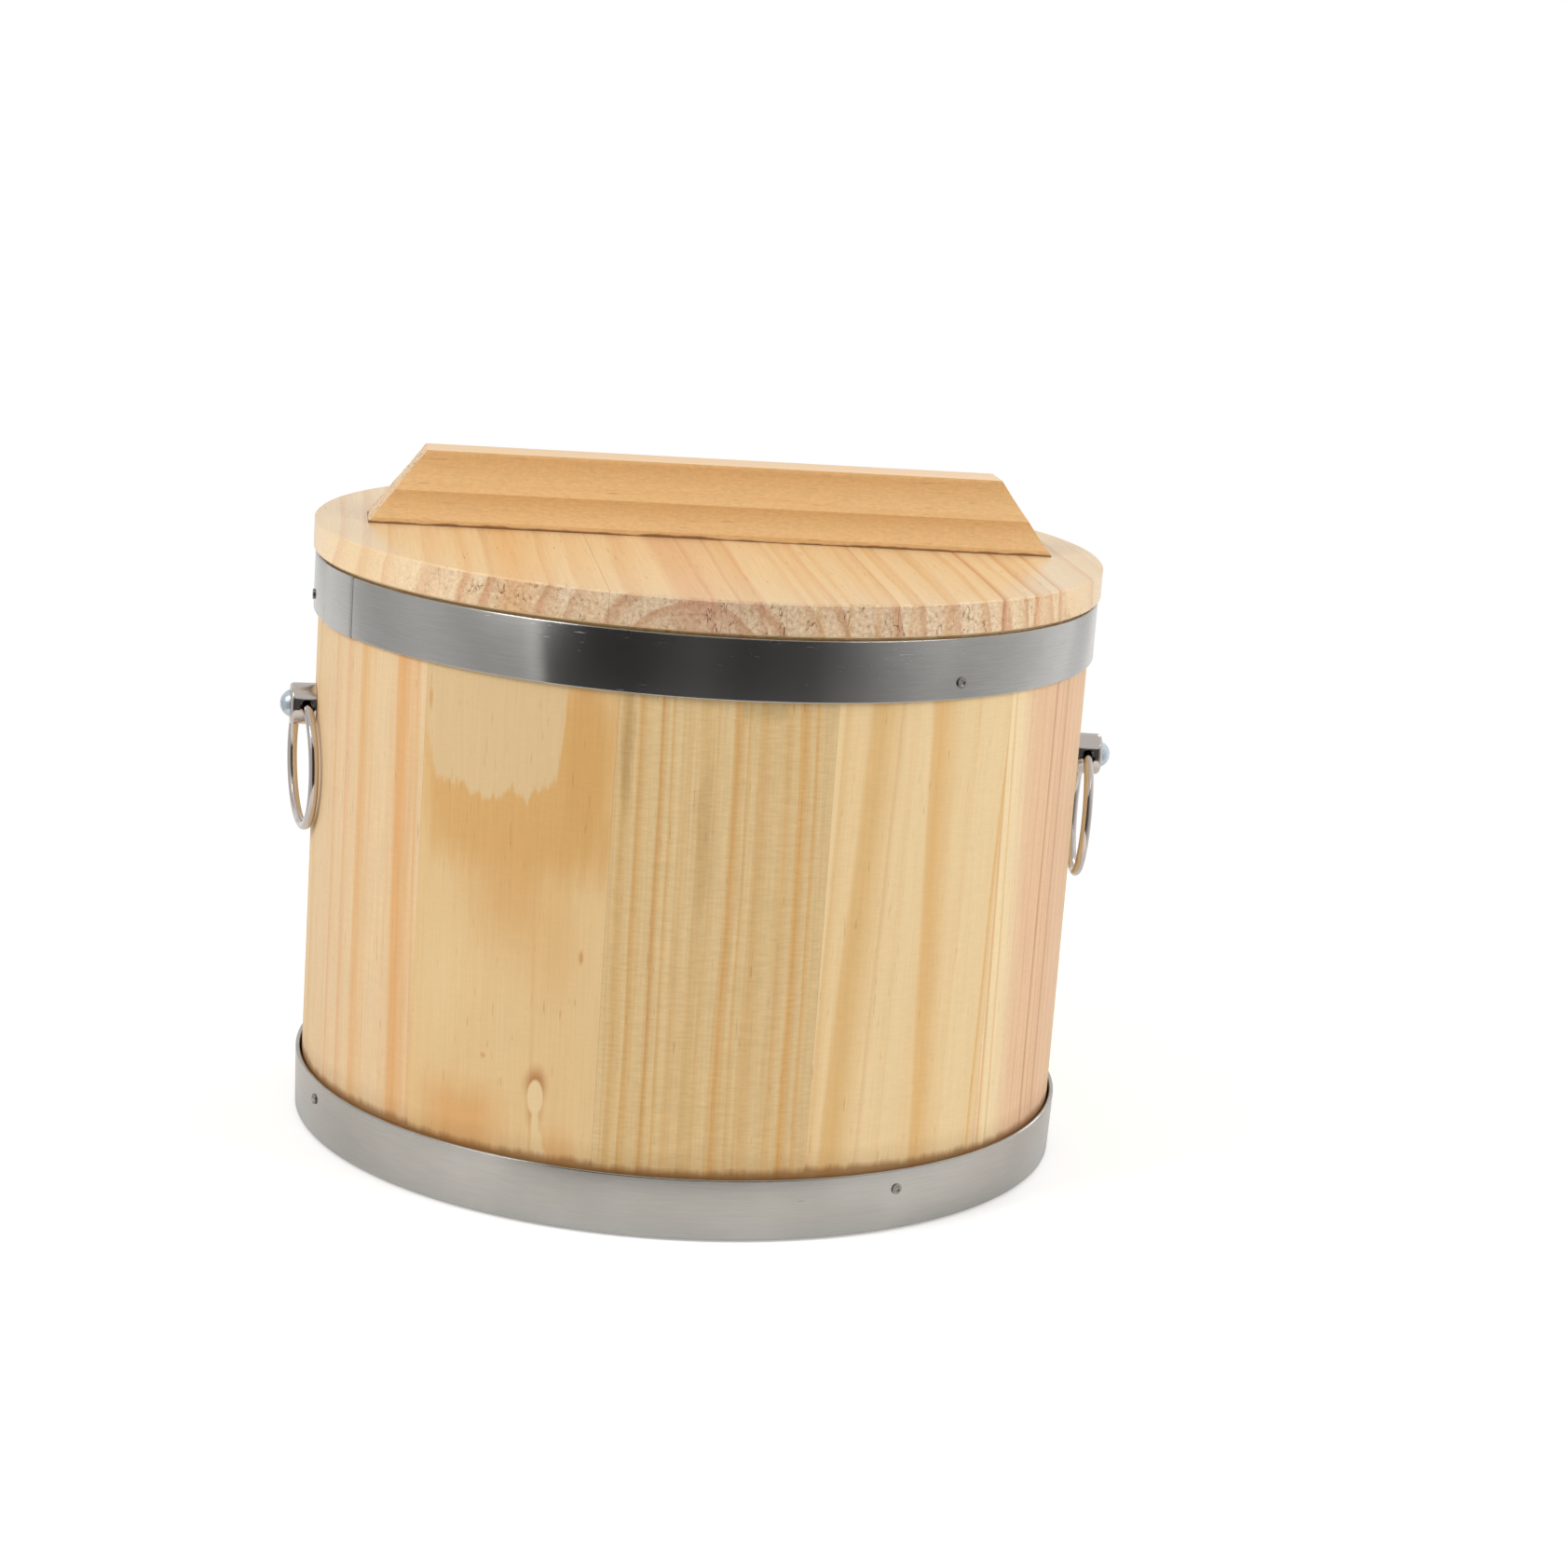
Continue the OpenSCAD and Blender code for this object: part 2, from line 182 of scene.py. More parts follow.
def makeFloor(v):
    bpy.ops.mesh.primitive_plane_add(size=v["floorSize"], location=(0, 0, -0.0002))
    floor = bpy.context.object
    floor.name = "studio_floor"
    material, tree = newMaterial("matt_white_backdrop_paper")  # even, no gloss
    path = addNode(tree, "LightPath")
    place = addNode(tree, "TexCoord")
    away = addNode(tree, "VectorMath", {0: place.outputs["Object"]}, operation="LENGTH")
    far = addNode(tree, "MapRange", {"Value": away.outputs["Value"], "From Min": v["whiteFrom"],
                                     "From Max": v["whiteTo"]}, interpolation_type="SMOOTHSTEP")
    paper = addNode(tree, "BsdfDiffuse", {"Color": linear(v["floorPale"])})
    glow = addNode(tree, "Emission", {"Color": (1, 1, 1, 1), "Strength": v["cameraGlow"]})
    lit = addNode(tree, "AddShader", {0: paper, 1: glow})
    white = addNode(tree, "Emission", {"Color": (1, 1, 1, 1), "Strength": 1.0})
    shown = addNode(tree, "MixShader", {"Fac": far, 1: lit, 2: white})
    seen = addNode(tree, "MixShader", {"Fac": path.outputs["Is Camera Ray"], 1: paper, 2: shown})
    addNode(tree, "OutputMaterial", {"Surface": seen})
    dress(floor, material)
    return floor


def makeCards(v):
    bpy.ops.mesh.primitive_circle_add(vertices=180, radius=v["skirt"], location=(0, 0, v["low"]))
    cards = bpy.context.object
    cards.name = "studio_cards"
    editAll(cards)
    bpy.ops.mesh.extrude_region_move(TRANSFORM_OT_translate={"value": (0, 0, 0)})
    outer = v["radius"] / v["skirt"]
    bpy.ops.transform.resize(value=(outer, outer, 1), center_override=(0, 0, v["low"]))
    bpy.ops.mesh.extrude_region_move(TRANSFORM_OT_translate={"value": (0, 0, v["high"] - v["low"])})
    bpy.ops.object.mode_set(mode="OBJECT")
    start, end = v["tones"][0][0], v["tones"][-1][0]
    pickFaces(cards, lambda face: not start < azimuthOf(face) < end)
    bpy.ops.mesh.delete(type="FACE")
    bpy.ops.object.mode_set(mode="OBJECT")
    material, tree = newMaterial("grey_studio_cards")  # black felt in front, paler cards beside it
    place = addNode(tree, "TexCoord")
    # turned so that the gradient runs from the back over the left, the front at its middle, and the right
    around = addNode(tree, "Mapping", {"Vector": place.outputs["Object"],
                                       "Rotation": (0, 0, math.radians(90))})
    sweep = addNode(tree, "TexGradient", {"Vector": around}, gradient_type="RADIAL")
    # halved in the ramp and doubled in the strength, so that a tone may also go above 1
    tone = addNode(tree, "ValToRGB", {"Fac": sweep}, [((a + 180) / 360, t / 2) for a, t in v["tones"]])
    addNode(tree, "OutputMaterial", {"Surface": addNode(tree, "Emission", {"Color": tone, "Strength": 2.0})})
    dress(cards, material)
    cards.visible_camera = cards.visible_diffuse = cards.visible_shadow = cards.visible_transmission = False
    return cards


def makeWorld(v):
    world = bpy.data.worlds.new("white_studio")
    world.use_nodes = True
    tree = world.node_tree
    tree.nodes.clear()
    path = addNode(tree, "LightPath")
    mirror = addNode(tree, "Math", {0: path.outputs["Is Glossy Ray"], 1: path.outputs["Is Transmission Ray"]},
                     operation="MAXIMUM")
    dim = addNode(tree, "Mix", {"Factor": mirror, 2: v["worldLight"], 3: v["worldMirror"]}, data_type="FLOAT")
    strength = addNode(tree, "Mix", {"Factor": path.outputs["Is Camera Ray"], 2: dim, 3: 1.0},
                       data_type="FLOAT")
    white = addNode(tree, "Background", {"Color": (1, 1, 1, 1), "Strength": strength})
    addNode(tree, "OutputWorld", {"Surface": white})
    bpy.context.scene.world = world


def makeLamp(name, v):
    lamp = bpy.data.lights.new(name, "AREA")
    lamp.shape = "SQUARE"
    lamp.size = v["size"]
    lamp.energy = v["power"]
    thing = bpy.data.objects.new(name, lamp)
    place, middle = Vector(v["place"]), Vector((0, 0, 0.08))  # it points at the tub's middle
    thing.location = place
    thing.rotation_euler = (middle - place).to_track_quat("-Z", "Y").to_euler()
    bpy.context.scene.collection.objects.link(thing)


bpy.ops.object.select_all(action="DESELECT")
floor = makeFloor(stage)
cards = makeCards(stage["cards"])
makeWorld(stage)
for name in ("key", "fill", "rim"):
    makeLamp(name, stage[name])
bpy.context.scene.view_settings.view_transform = "Standard"
print("camera, stage and lamps placed")

# How the pine's figure is drawn: spacings in mm, and each stretch along the fibre as a share.
figure = {
    "sway": 28, "patch": 16, "slow": 0.2,  # bends of the rings, and warmer or paler patches
    "drift": 2.4, "high": 127,  # how far a strong line strays, and the height that it leans over
    "wick": 3.2, "wickLong": 0.12,  # rag of a stain's edge, drawn out along the fibre
    "block": 30,  # a mark wider than this is a rounded block, not an ellipse
    "fibre": 0.45,  # some 20 mm long, and drawn broader than the real one so that it shows
    "canal": 0.55, "canalLong": 0.09,  # resin canals: sparse brown dashes, 0.2 mm wide
    "knife": 0.6, "knifeWide": 0.2,  # chatter of the planer's knives: short marks across the fibre
    "grime": 3.0, "glue": 1.5,  # how far dirt and the handle's glue line wander up and down
    "crumb": 0.9, "sawn": 5.0, "crack": 3.2,  # sawn ends: crumbs, rougher patches and short cracks
    "heart": -8.0,  # across, where the lid's plank has its heart
}
noiseSpan = {"From Min": 0.3, "From Max": 0.7}  # nearly all of a noise texture's values


# Rings round the pith, each darkening towards its late line, with broad warmer and paler patches under them.
# A Mix node takes its two colours at inputs 6 and 7, and gives the mixed colour at output 2.
def yearRings(tree, look, log):
    slow = addNode(tree, "VectorMath", {0: log, 1: (1, 1, figure["slow"])}, operation="MULTIPLY")
    sway = addNode(tree, "TexNoise", {"Vector": slow, "W": look["seed"],
                                      "Scale": 1 / (figure["sway"] * mm), "Detail": 2.0},
                   noise_dimensions="4D")
    swayed = addNode(tree, "VectorMath", {0: sway.outputs["Color"], 1: [look["sway"] * mm] * 2 + [0], 2: log},
                     operation="MULTIPLY_ADD")
    flat = addNode(tree, "VectorMath", {0: swayed, 1: (1, 1, 0)}, operation="MULTIPLY")
    radius = addNode(tree, "VectorMath", {0: flat}, operation="LENGTH")
    years = addNode(tree, "Math", {0: radius.outputs["Value"], 1: look["year"] * mm}, operation="DIVIDE")
    pace = addNode(tree, "TexNoise", {"W": years, "Scale": 0.55, "Detail": 1.0}, noise_dimensions="1D")
    uneven = addNode(tree, "Math", {0: pace.outputs[0], 1: look["uneven"], 2: years},
                     operation="MULTIPLY_ADD")
    season = addNode(tree, "Math", {0: uneven}, operation="FRACT")
    line = addNode(tree, "ValToRGB", {"Fac": season},
                   [(0, 0.0), (0.35, 0.10), (0.62, 0.38), (0.80, 0.90), (0.90, 1.0), (1.0, 0.0)])
    vigour = addNode(tree, "TexNoise", {"W": years, "Scale": 0.9, "Detail": 0.0}, noise_dimensions="1D")
    strength = addNode(tree, "MapRange", {**noiseSpan, "Value": vigour.outputs[0],
                                          "To Min": look["line"] * 0.35, "To Max": look["line"]})
    late = addNode(tree, "Math", {0: line.outputs["Color"], 1: strength}, operation="MULTIPLY")
    broad = addNode(tree, "TexNoise", {"Vector": slow, "W": look["seed"] + 3,
                                       "Scale": 1 / (figure["patch"] * mm), "Detail": 3.0},
                    noise_dimensions="4D")
    early, warm = linear(look["early"]), linear(look["warm"])
    ground = addNode(tree, "Mix", {"Factor": broad.outputs[0], 6: early, 7: warm}, data_type="RGBA")
    colour = addNode(tree, "Mix", {"Factor": late, 6: ground.outputs[2], 7: linear(look["late"])},
                     data_type="RGBA")
    return colour.outputs[2], late, sway


# Single strong lines, each with one sharper side.
def strongLines(tree, look, colour, parts, sway):
    drift = figure["drift"] * mm
    across = addNode(tree, "Math", {0: sway.outputs[0], 1: 2 * drift, 2: parts.outputs["X"]},
                     operation="MULTIPLY_ADD")
    for foot, top, wide, share, shade in look["streaks"]:
        lean = (top - foot) / figure["high"]
        run = addNode(tree, "Math", {0: parts.outputs["Z"], 1: lean, 2: foot * mm + drift},
                      operation="MULTIPLY_ADD")
        off = addNode(tree, "Math", {0: across, 1: run}, operation="SUBTRACT")
        half = wide / 2 * mm
        side = addNode(tree, "MapRange", {"Value": off, "From Min": -half, "From Max": half})
        band = addNode(tree, "ValToRGB", {"Fac": side},
                       [(0, 0.0), (0.12, share * 0.85), (0.32, share), (0.66, share * 0.45), (1, 0.0)])
        colour = addNode(tree, "Mix", {"Factor": band, 6: colour, 7: linear(shade)},
                         data_type="RGBA").outputs[2]
    return colour


# Stains, specks and wet marks, whose edges wick along the fibre.
def stainedMarks(tree, look, colour, grain, wick):
    for x, z, wide, high, soft, rag, share, shade in look["marks"]:
        apart = addNode(tree, "VectorMath", {0: grain, 1: (x * mm, 0, z * mm)}, operation="SUBTRACT")
        sized = addNode(tree, "VectorMath", {0: apart, 1: (2 / (wide * mm), 0, 2 / (high * mm))},
                        operation="MULTIPLY")
        root = 1 / 2
        if wide > figure["block"]:
            sized = addNode(tree, "VectorMath", {0: sized, 1: sized}, operation="MULTIPLY")
            root = 1 / 4
        reach = addNode(tree, "VectorMath", {0: sized, 1: sized}, operation="DOT_PRODUCT")
        rooted = addNode(tree, "Math", {0: reach.outputs["Value"], 1: root}, operation="POWER")
        edge = addNode(tree, "Math", {0: wick.outputs[0], 1: rag, 2: rooted}, operation="MULTIPLY_ADD")
        rim = 1 + rag / 2
        mask = addNode(tree, "MapRange", {"Value": edge, "From Min": rim - soft, "From Max": rim,
                                          "To Min": share, "To Max": 0.0}, interpolation_type="SMOOTHSTEP")
        colour = addNode(tree, "Mix", {"Factor": mask, 6: colour, 7: linear(shade)},
                         data_type="RGBA").outputs[2]
    return colour


# Fibre, resin canals and the planer's chatter.
def planedFace(tree, look, colour, grain, log):
    fine = addNode(tree, "VectorMath", {0: log, 1: (1, 1, look["strand"])}, operation="MULTIPLY")
    fibre = addNode(tree, "TexNoise", {"Vector": fine, "Scale": 1 / (figure["fibre"] * mm), "Detail": 3.0,
                                       "Roughness": 0.6})
    tone = addNode(tree, "MapRange", {**noiseSpan, "Value": fibre.outputs[0], "To Min": 1 - look["fibre"],
                                      "To Max": 1 + look["fibre"] * 0.6})
    colour = addNode(tree, "VectorMath", {0: colour, "Scale": tone}, operation="SCALE").outputs[0]

    poreAt = addNode(tree, "VectorMath", {0: log, 1: (1, 1, figure["canalLong"])}, operation="MULTIPLY")
    pore = addNode(tree, "TexNoise", {"Vector": poreAt, "Scale": 1 / (figure["canal"] * mm), "Detail": 1.0})
    canal = addNode(tree, "MapRange", {"Value": pore.outputs[0], "From Min": 0.70, "From Max": 0.80,
                                       "To Min": 0.0, "To Max": look["canals"]})
    colour = addNode(tree, "Mix", {"Factor": canal, 6: colour, 7: linear("#9A6A38")},
                     data_type="RGBA").outputs[2]

    knifeAt = addNode(tree, "VectorMath", {0: grain, 1: (figure["knifeWide"], figure["knifeWide"], 1)},
                      operation="MULTIPLY")
    knife = addNode(tree, "TexNoise", {"Vector": knifeAt, "Scale": 1 / (figure["knife"] * mm), "Detail": 3.0,
                                       "Roughness": 0.7})
    ripple = addNode(tree, "MapRange", {**noiseSpan, "Value": knife.outputs[0], "To Min": 1 - look["chatter"],
                                        "To Max": 1 + look["chatter"]})
    colour = addNode(tree, "VectorMath", {0: colour, "Scale": ripple}, operation="SCALE").outputs[0]
    height = addNode(tree, "Math", {0: knife.outputs[0], 1: 0.5, 2: fibre.outputs[0]},
                     operation="MULTIPLY_ADD")
    bump = addNode(tree, "Bump", {"Strength": 0.35, "Distance": 0.15 * mm, "Height": height})
    return colour, bump


# Dirt in the corners beside the hoops.
def cornerGrime(tree, look, colour, parts, wick):
    rag = figure["grime"]
    for low, high, share in look["grime"]:
        dirt = addNode(tree, "Math", {0: wick.outputs[0], 1: rag * mm, 2: parts.outputs["Z"]},
                       operation="MULTIPLY_ADD")
        depth = addNode(tree, "MapRange", {"Value": dirt, "From Min": (low + rag / 2) * mm,
                                           "From Max": (high + rag / 2) * mm, "To Min": share, "To Max": 0.0})
        colour = addNode(tree, "Mix", {"Factor": depth, 6: colour, 7: linear("#8A5A28")},
                         data_type="RGBA").outputs[2]
    return colour


# The handle's top is painted paler where its faces look up: painted light. A dark glue line runs along its
# foot, broken here and there.
def handleLitTopAndGlue(tree, look, colour, place):
    upward = addNode(tree, "SeparateXYZ", {"Vector": place.outputs["Normal"]})
    # painted light: faces that look up are mixed towards the paler top colour
    crown = addNode(tree, "MapRange", {"Value": upward.outputs["Z"], "From Min": 0.85, "From Max": 0.97,
                                       "To Max": 0.8})
    colour = addNode(tree, "Mix", {"Factor": crown, 6: colour, 7: linear(look["crown"])},
                     data_type="RGBA").outputs[2]
    tall = addNode(tree, "SeparateXYZ", {"Vector": place.outputs["Object"]})
    broken = addNode(tree, "TexNoise", {"Vector": place.outputs["Object"], "Scale": 1 / (7 * mm),
                                        "Detail": 3.0})
    rag = figure["glue"]
    reach = addNode(tree, "Math", {0: broken.outputs[0], 1: -rag * mm, 2: tall.outputs["Z"]},
                    operation="MULTIPLY_ADD")
    foot = (look["foot"] - rag / 2) * mm
    low, high = foot + 0.2 * mm, foot + 0.5 * mm
    glue = addNode(tree, "MapRange", {"Value": reach, "From Min": low, "From Max": high,
                                      "To Min": 0.8, "To Max": 0.0})
    return addNode(tree, "Mix", {"Factor": glue, 6: colour, 7: linear("#6B4020")},
                   data_type="RGBA").outputs[2]


# Sawn end grain: rough, greyer and darker, with pits and short cracks.
def sawnEnds(tree, look, colour, bump, late, place, grain, parts):
    turn, tip = boardTurn(look)
    facing = addNode(tree, "Mapping", {"Vector": place.outputs["Normal"], "Rotation": turn},
                     vector_type="VECTOR")
    facing = addNode(tree, "Mapping", {"Vector": facing, "Rotation": tip}, vector_type="VECTOR")
    fibreWay = addNode(tree, "SeparateXYZ", {"Vector": facing})
    endOn = addNode(tree, "Math", {0: fibreWay.outputs["Z"]}, operation="ABSOLUTE")
    patchy = addNode(tree, "TexNoise", {"Vector": grain, "Scale": 1 / (figure["sawn"] * mm), "Detail": 3.0})
    endOn = addNode(tree, "Math", {0: patchy.outputs[0], 1: 0.22, 2: endOn}, operation="MULTIPLY_ADD")
    end = addNode(tree, "MapRange", {"Value": endOn, "From Min": 0.60, "From Max": 0.92})

    crumb = addNode(tree, "TexNoise", {"Vector": grain, "Scale": 1 / (figure["crumb"] * mm), "Detail": 5.0,
                                       "Roughness": 0.7})
    sawn = addNode(tree, "ValToRGB", {"Fac": crumb.outputs[0]},
                   [(0.30, "#A38461"), (0.41, "#D3B998"), (0.52, "#E2CBAC"), (0.68, "#F1E0C6")])
    ring = addNode(tree, "Math", {0: late, 1: 0.9}, operation="MULTIPLY")
    ringed = addNode(tree, "Mix", {"Factor": ring, 6: sawn, 7: linear("#C08A62")}, data_type="RGBA")

    tilted = addNode(tree, "VectorMath", {0: grain, 1: (1, 0.28, 0.4)}, operation="MULTIPLY")
    split = addNode(tree, "TexNoise", {"Vector": tilted, "Scale": 1 / (figure["crack"] * mm), "Detail": 3.0})
    near = addNode(tree, "Math", {0: split.outputs[0], 1: 0.5, 2: 0.006}, operation="COMPARE")
    some = addNode(tree, "MapRange", {"Value": patchy.outputs[0], "From Min": 0.50, "From Max": 0.56})
    crack = addNode(tree, "Math", {0: near, 1: some}, operation="MULTIPLY")
    torn = addNode(tree, "Mix", {"Factor": crack, 6: ringed.outputs[2], 7: linear("#9A6E48")},
                   data_type="RGBA")

    # dull over the heart of the board, paler towards its edges
    offHeart = addNode(tree, "Math", {0: parts.outputs["X"], 1: -figure["heart"] * mm}, operation="ADD")
    offHeart = addNode(tree, "Math", {0: offHeart}, operation="ABSOLUTE")
    paler = addNode(tree, "MapRange", {"Value": offHeart, "From Min": 6 * mm, "From Max": 60 * mm,
                                       "To Min": 0.87, "To Max": 1.18})
    torn = addNode(tree, "VectorMath", {0: torn.outputs[2], "Scale": paler}, operation="SCALE")
    # the board's own bands run on over its end
    bands = addNode(tree, "VectorMath", {0: colour, 1: linear(look["early"])[:3]}, operation="DIVIDE")
    torn = addNode(tree, "VectorMath", {0: torn, 1: bands}, operation="MULTIPLY")
    colour = addNode(tree, "Mix", {"Factor": end, 6: colour, 7: torn.outputs[0]}, data_type="RGBA").outputs[2]

    pit = addNode(tree, "Math", {0: crumb.outputs[0], 1: crack}, operation="SUBTRACT")
    bump = addNode(tree, "Bump", {"Strength": end, "Distance": 0.45 * mm, "Height": pit, "Normal": bump})
    rough = addNode(tree, "MapRange", {"Value": end, "To Min": look["rough"], "To Max": 0.85})
    return colour, bump, rough


# The two turns that bring the tub's frame to a board's own: across, depth, along the fibre.
def boardTurn(look):
    return (0, 0, math.radians(look["turn"])), [math.radians(a) for a in look["tip"]]


# Planed pine: soft satin face, yellow early wood that darkens through each year to an orange late line.
# The rings are round the pith and run through the whole board.
def pineMaterial(name, look):
    material, tree = newMaterial(name)
    place = addNode(tree, "TexCoord")
    turn, tip = boardTurn(look)
    board = addNode(tree, "Mapping", {"Vector": place.outputs["Object"], "Rotation": turn})
    grain = addNode(tree, "Mapping", {"Vector": board, "Rotation": tip})
    parts = addNode(tree, "SeparateXYZ", {"Vector": grain})
    log = addNode(tree, "VectorMath", {0: grain, 1: [a * mm for a in look["pith"]] + [0]},
                  operation="SUBTRACT")
    wickAt = addNode(tree, "VectorMath", {0: grain, 1: (1, 1, figure["wickLong"])}, operation="MULTIPLY")
    wick = addNode(tree, "TexNoise", {"Vector": wickAt, "Scale": 1 / (figure["wick"] * mm), "Detail": 5.0,
                                      "Roughness": 0.65})
    colour, late, sway = yearRings(tree, look, log)
    colour = strongLines(tree, look, colour, parts, sway)
    colour = stainedMarks(tree, look, colour, grain, wick)
    colour, bump = planedFace(tree, look, colour, grain, log)
    colour = cornerGrime(tree, look, colour, parts, wick)
    # the handle gets a paler top as painted light, and its glue line
    if "crown" in look:
        colour = handleLitTopAndGlue(tree, look, colour, place)
    colour, bump, rough = sawnEnds(tree, look, colour, bump, late, place, grain, parts)
    surface = addNode(tree, "BsdfPrincipled", {"Base Color": colour, "Roughness": rough, "Normal": bump,
                                               "Specular IOR Level": look["gloss"]})
    addNode(tree, "OutputMaterial", {"Surface": surface})
    return material


# streaks: across at the foot and at the top, width (mm), share, shade
# marks: across, along, width, height (mm), softness, raggedness, share, shade
# grime: from, to (mm up the tub), share
staveLook = {
    "turn": 0, "tip": (0.6, 0.8, 0), "pith": (0, -40), "seed": 1.0, "sway": 5.0, "year": 3.6, "uneven": 1.5,
    "line": 0.5, "early": "#E6CB9B", "warm": "#DFBF89", "late": "#CF9A58", "fibre": 0.07, "strand": 0.02,
    "canals": 0.4, "chatter": 0.03, "rough": 0.5, "gloss": 0.35, "streaks": [], "marks": [],
    "grime": [(13.2, 14.6, 0.75), (12.5, 18.5, 0.3)],
}
staves = {
    "stave_01": {
        "pith": (95, -62), "year": 4.6, "line": 0.4, "chatter": 0.075,
        "early": "#D9BE8F", "warm": "#D3B37D", "late": "#C7954F",
        "streaks": [
            (-20.4, -20.4, 1.2, 0.4, "#CDA36C"), (-18.6, -18.6, 3.0, 0.5, "#C69C5C"),
            (-15.8, -15.8, 2.2, 0.4, "#C8964F"), (-11.7, -11.7, 1.6, 0.65, "#C38E4A"),
            (-9.6, -9.6, 1.2, 0.5, "#C8964F"), (-7.4, -7.4, 1.6, 0.3, "#C79A58"),
            (-2.6, -2.6, 4.4, 0.45, "#C69E60"), (2.9, 2.9, 2.2, 0.6, "#CB9650"),
            (5.2, 5.2, 1.3, 0.4, "#C8964F"), (8.9, 8.9, 3.4, 0.45, "#CA9D5E"),
            (13.4, 13.4, 1.6, 0.4, "#D2A05E"), (16.6, 16.6, 2.8, 0.6, "#D29B50"),
            (19.4, 19.4, 1.6, 0.55, "#D19A50")],
        # grey-brown bloom
        "marks": [
            (-18.6, 101, 3.4, 36, 0.8, 2.6, 0.42, "#9A7A46"), (-2.5, 82, 5.0, 48, 0.9, 2.6, 0.28, "#A5824A"),
            (9, 111, 14, 7, 0.8, 2.0, 0.35, "#9A8250")]},
    "stave_02": {
        "pith": (-60, -30), "year": 7.5, "tip": (0.8, -1.2, 0), "line": 0.28, "fibre": 0.04,
        "early": "#EACF9F", "warm": "#E6C996", "late": "#DBA865",
        "streaks": [
            (-22.0, -22.3, 2.2, 0.5, "#D9AE70"), (-16.8, -13.1, 9.5, 0.85, "#D8AE6E"),
            (-11.5, -10.4, 1.6, 0.3, "#CF9A6A"), (7.2, -1.4, 8.0, 0.8, "#DCAE6C"),
            (5.4, 4.0, 6.0, 0.2, "#DDB070"), (20.6, 20.6, 1.4, 0.6, "#DBA255")]},
    "stave_03": {  # pink heartwood beside a pale strip
        "pith": (70, -40), "year": 2.4, "line": 0.4,
        "early": "#E8C49E", "warm": "#E4B98F", "late": "#CB9170",
        "streaks": [
            (-15.5, -17.5, 13.0, 0.95, "#EFD6A8"), (-15.5, -17.0, 10.0, 0.95, "#EFD6A8"),
            (-20.6, -20.9, 1.1, 0.7, "#D99F55"), (-17.6, -18.8, 1.0, 0.5, "#DDA75E"),
            (-1.4, -1.4, 1.6, 0.6, "#C28B66"), (5.8, 5.8, 2.0, 0.6, "#B98563")]},
    "stave_04": {"pith": (10, -50)},
    "stave_05": {"pith": (-60, -40), "year": 4.5},
    "stave_06": {"pith": (30, -10)},
    "stave_07": {"pith": (0, -45), "early": "#E9CFA4"},
    "stave_08": {"pith": (70, -60), "late": "#D29B66"},
    "stave_09": {"pith": (-15, -30), "year": 5.0},
    "stave_10": {"pith": (25, -35), "early": "#E8CBA2"},
    "stave_11": {
        "pith": (60, -60), "year": 5.5, "line": 0.35,
        "early": "#E2C69C", "warm": "#DFBD8F", "late": "#D9A470",
        "streaks": [
            (-11.3, -11.3, 1.8, 0.5, "#DDA877"), (-4.6, -4.6, 2.2, 0.55, "#DBA274"),
            (3.4, 3.4, 6.5, 0.6, "#DCA869"), (18.2, 18.2, 7.5, 0.85, "#DBA262"),
            (21.8, 21.8, 1.6, 0.5, "#D9A264")]},
    "stave_12": {
        "pith": (5, -66), "year": 7.0, "line": 0.18, "fibre": 0.04, "chatter": 0.02,
        "early": "#DEBF8E", "warm": "#DAB781", "late": "#D5A869",
        "streaks": [(9.2, 8.6, 1.0, 0.3, "#CE9A58"), (-20.4, -20.4, 1.6, 0.4, "#E4BC7C")],
        "marks": [
            # the damp stain, with a paler block in it and a darker foot
            (3, 93, 62, 52, 0.45, 0.5, 0.85, "#D0A05E"), (2, 70, 30, 44, 0.9, 0.5, 0.75, "#D2A263"),
            (17.5, 100, 12, 50, 0.6, 0.5, 0.7, "#CD9D5C"), (12, 60, 18, 40, 0.9, 0.5, 0.45, "#D6A96C"),
            (-12, 48, 24, 46, 0.9, 0.4, 0.6, "#E0C28F"), (-3.6, 113.5, 35, 51, 0.07, 0.5, 0.95, "#D6B889"),
            (-8, 17, 32, 26, 0.8, 0.6, 0.8, "#D5A062"), (14, 12, 14, 22, 0.8, 0.5, 0.7, "#D5A264"),
            # the resin drip: a brown rim and a pale drop that runs down to the hoop
            (9.8, 28.6, 7.0, 11, 0.9, 0.2, 0.9, "#A9682A"), (9.8, 24.0, 5.6, 14, 0.8, 0.2, 0.55, "#B87A38"),
            (9.8, 26.0, 4.0, 8.5, 0.25, 0.1, 0.97, "#E2C697"),
            (10.0, 20.5, 2.2, 9, 0.5, 0.1, 0.97, "#E0C493"),
            (10.5, 16.0, 3.2, 8, 0.4, 0.1, 0.95, "#E0C493"), (11.0, 12.6, 4.8, 8, 0.4, 0.1, 0.95, "#E0C493"),
            # brown specks
            (-19.4, 106, 1.5, 7, 0.8, 0.3, 0.6, "#C98A40"), (18.4, 57, 1.3, 4.5, 0.8, 0.3, 0.7, "#BE7C36"),
            (-2.6, 33, 1.8, 1.8, 0.8, 0.3, 0.6, "#C98A40")]},
}
firstStave, staveStep = -1.4, 30  # azimuth from the front, degrees
for count, (name, look) in enumerate(staves.items()):
    own = {"turn": -(firstStave + staveStep * count), "seed": 1.7 * count, **look}
    dress(nodes[name], pineMaterial("planed_pine_" + name, {**staveLook, **own}))

boardLook = {
    **staveLook, "turn": -1.2, "tip": (90, 0, 0), "pith": (0, -140), "seed": 40.0, "sway": 7.0, "year": 7.0,
    "uneven": 1.4, "line": 0.62, "early": "#EFD5AA", "warm": "#ECC995", "late": "#DDA96F", "fibre": 0.06,
    "chatter": 0.02, "rough": 0.24, "gloss": 0.8, "grime": [],
}
